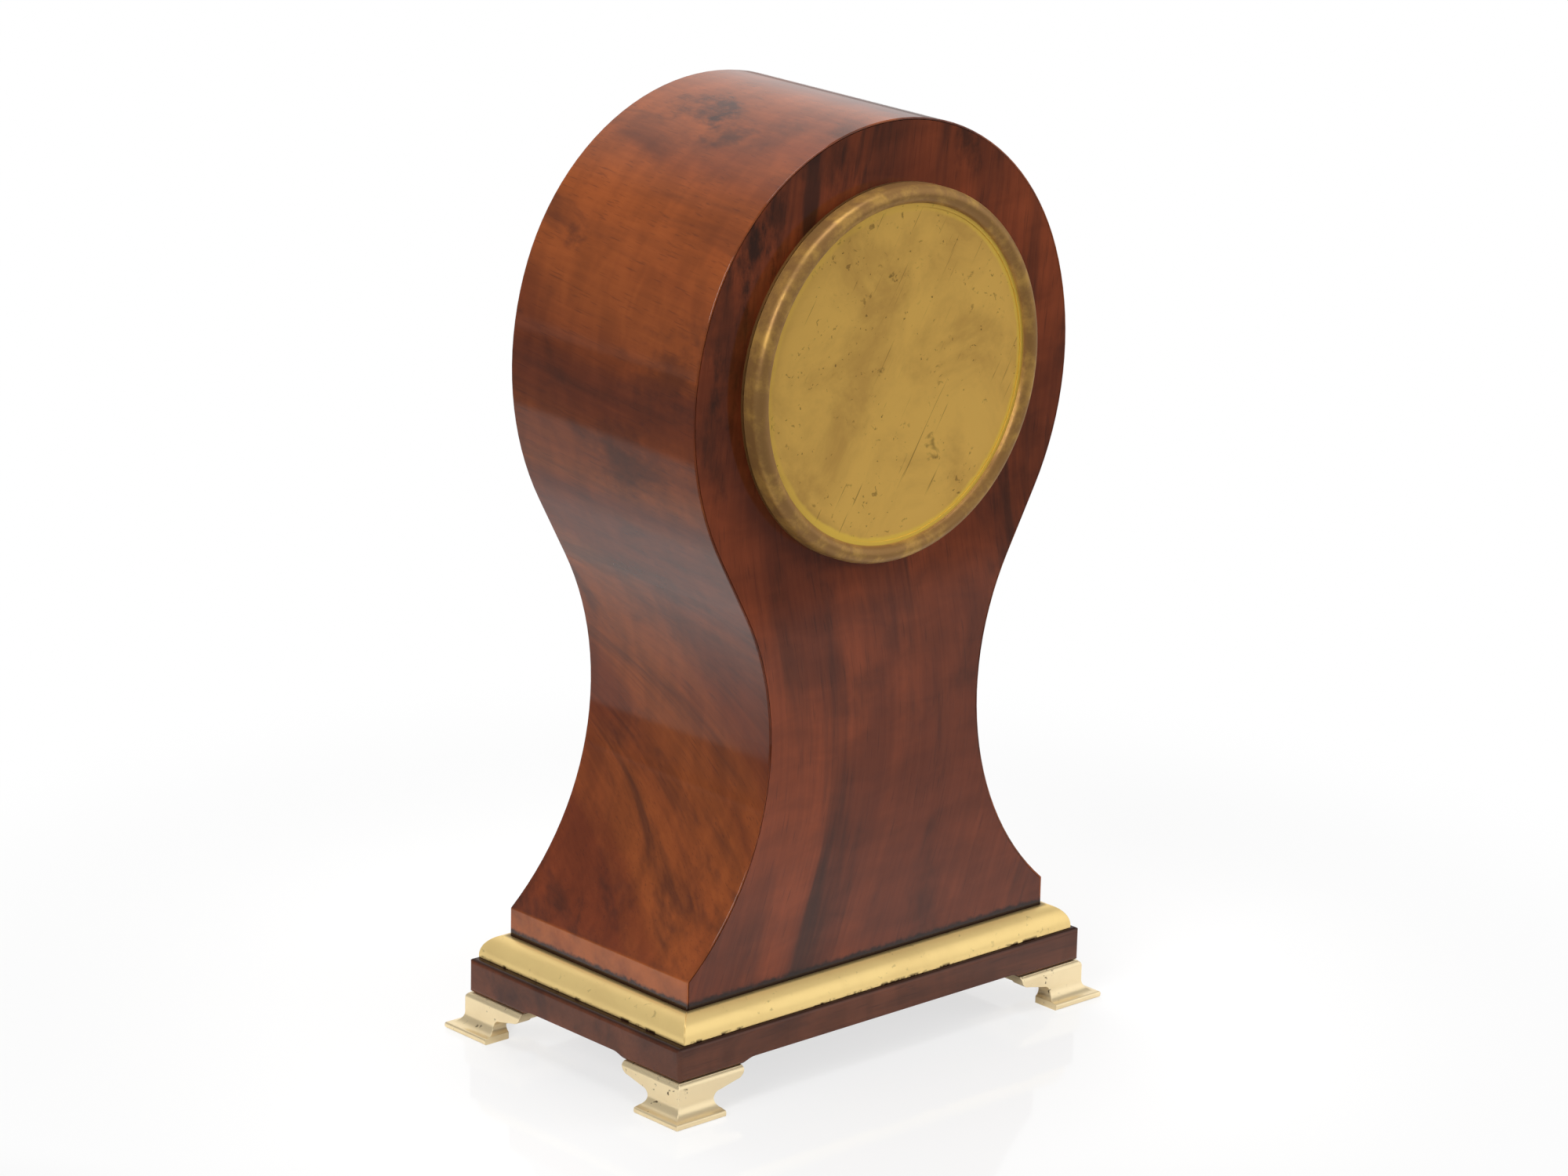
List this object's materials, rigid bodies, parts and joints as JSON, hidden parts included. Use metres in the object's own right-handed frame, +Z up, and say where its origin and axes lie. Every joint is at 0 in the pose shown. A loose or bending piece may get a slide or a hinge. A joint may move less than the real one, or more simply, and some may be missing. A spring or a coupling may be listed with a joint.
{
  "type": "balloon clock",
  "caption": "Balloon-shaped mahogany mantel clock on a plinth with brass bracket feet, round brass back cover, hinged glazed bezel and a drum movement inside.",
  "frame": {"origin": "on the table under the middle of the four feet", "axes": "+Z up, the dial faces -Y and the back cover +Y"},
  "size_m": [0.1518, 0.0932, 0.25],
  "materials": {
    "side_veneer": "french polished figured mahogany veneer",
    "back_veneer": "french polished dark mahogany",
    "plinth_wood": "polished dark mahogany",
    "polished_brass": "polished, lightly pitted",
    "patinated_brass": "satin, patinated",
    "movement_brass": "fine satin",
    "steel": "polished",
    "blued_steel": "blued",
    "enamel": "white enamel",
    "glass": "clear"
  },
  "bodies": {
    "case": {"front_panel": "side_veneer", "back_panel": "back_veneer", "side_band": "side_veneer", "bottom_board": "plinth_wood", "plinth": "plinth_wood", "moulding_front": "polished_brass", "moulding_back": "polished_brass", "moulding_left": "polished_brass", "moulding_right": "polished_brass", "foot_front_left": "polished_brass", "foot_front_right": "polished_brass", "foot_back_left": "polished_brass", "foot_back_right": "polished_brass", "foot_screws": "steel", "base_screws": "steel", "bezel_flange": "polished_brass", "bezel_hinge_pin": "polished_brass", "dial": "enamel", "dial_plate": "movement_brass", "back_ring": "patinated_brass", "movement_straps": "movement_brass", "strap_screws": "steel", "front_plate": "movement_brass", "back_plate": "movement_brass", "pillars": "movement_brass", "plate_screws": "steel", "click_spring": "steel", "click_screw": "steel", "escapement_bridge": "movement_brass", "balance_cock": "movement_brass", "platform_plate": "movement_brass", "platform_screws": "steel"},
    "bezel": {"bezel_door": "polished_brass", "bezel_glass": "glass"},
    "cover": {"back_cover": "patinated_brass"},
    "minute": {"cannon_pinion": "movement_brass", "minute_hand": "blued_steel", "hand_nut": "movement_brass"},
    "hour": {"hour_wheel": "movement_brass", "hour_hand": "blued_steel"},
    "minute_wheel": {"minute_wheel": "movement_brass"},
    "barrel": {"barrel": "movement_brass", "barrel_cover": "movement_brass", "mainspring": "steel"},
    "winding": {"barrel_arbor": "steel", "ratchet_wheel": "steel"},
    "click": {"click": "steel"},
    "intermediate": {"intermediate_wheel": "movement_brass"},
    "centre": {"centre_wheel": "movement_brass"},
    "third": {"third_wheel": "movement_brass"},
    "fourth": {"fourth_wheel": "movement_brass"},
    "escape": {"escape_wheel": "steel"},
    "lever": {"pallet_lever": "steel"},
    "balance": {"balance_wheel": "movement_brass", "balance_spring": "blued_steel"},
    "regulator": {"regulator_index": "steel"}
  },
  "joints": [
    {"name": "bezel_swing", "type": "hinge", "parent": "case", "child": "bezel", "pos_m": [0.053, -0.0371, 0.1846], "axis": [0, 0, 1], "range_deg": [0, 110]},
    {"name": "cover_lift", "type": "slide", "parent": "case", "child": "cover", "axis": [0, 1, 0], "range_m": [0, 0.04]},
    {"name": "minute_turn", "type": "hinge", "parent": "case", "child": "minute", "pos_m": [0, 0, 0.1846], "axis": [0, 1, 0], "continuous": true},
    {"name": "hour_turn", "type": "hinge", "parent": "case", "child": "hour", "pos_m": [0, 0, 0.1846], "axis": [0, 1, 0], "continuous": true},
    {"name": "minute_wheel_turn", "type": "hinge", "parent": "case", "child": "minute_wheel", "pos_m": [-0.012, 0, 0.1846], "axis": [0, 1, 0], "continuous": true},
    {"name": "fourth_turn", "type": "hinge", "parent": "case", "child": "fourth", "pos_m": [-0.00455, 0, 0.20541], "axis": [0, 1, 0], "continuous": true},
    {"name": "escape_turn", "type": "hinge", "parent": "case", "child": "escape", "pos_m": [0.00645, 0, 0.20541], "axis": [0, 1, 0], "continuous": true},
    {"name": "third_turn", "type": "hinge", "parent": "case", "child": "third", "pos_m": [-0.0105, 0, 0.1951], "axis": [0, 1, 0], "continuous": true},
    {"name": "centre_turn", "type": "hinge", "parent": "case", "child": "centre", "pos_m": [0, 0, 0.1846], "axis": [0, 1, 0], "continuous": true},
    {"name": "intermediate_turn", "type": "hinge", "parent": "case", "child": "intermediate", "pos_m": [0.01323, 0, 0.17729], "axis": [0, 1, 0], "continuous": true},
    {"name": "barrel_turn", "type": "hinge", "parent": "case", "child": "barrel", "pos_m": [0, 0, 0.1611], "axis": [0, 1, 0], "continuous": true},
    {"name": "winding_turn", "type": "hinge", "parent": "case", "child": "winding", "pos_m": [0, 0, 0.1611], "axis": [0, 1, 0], "continuous": true},
    {"name": "click_lift", "type": "hinge", "parent": "case", "child": "click", "pos_m": [0.01081, 0, 0.16503], "axis": [0, 1, 0], "range_deg": [0, 8], "stiffness_Nm_per_rad": 0.00005, "deforming": ["click_spring"]},
    {"name": "lever_rock", "type": "hinge", "parent": "case", "child": "lever", "pos_m": [0.01107, 0, 0.20541], "axis": [0, 1, 0], "range_deg": [-4, 4]},
    {"name": "balance_swing", "type": "hinge", "parent": "case", "child": "balance", "pos_m": [0.01807, 0, 0.20541], "axis": [0, 1, 0], "range_deg": [-220, 220], "stiffness_Nm_per_rad": 0.0000047, "deforming": ["balance_spring"]},
    {"name": "regulator_turn", "type": "hinge", "parent": "case", "child": "regulator", "pos_m": [0.01807, 0, 0.20541], "axis": [0, 1, 0], "range_deg": [-25, 25]}
  ],
  "couplings": [
    {"joint": "hour_turn", "follows": "minute_turn", "ratio": 0.083333},
    {"joint": "minute_wheel_turn", "follows": "minute_turn", "ratio": -0.33333},
    {"joint": "escape_turn", "follows": "fourth_turn", "ratio": -10},
    {"joint": "third_turn", "follows": "fourth_turn", "ratio": -0.13333},
    {"joint": "centre_turn", "follows": "fourth_turn", "ratio": 0.016667},
    {"joint": "intermediate_turn", "follows": "fourth_turn", "ratio": -0.0027778},
    {"joint": "barrel_turn", "follows": "fourth_turn", "ratio": 0.00037037}
  ]
}
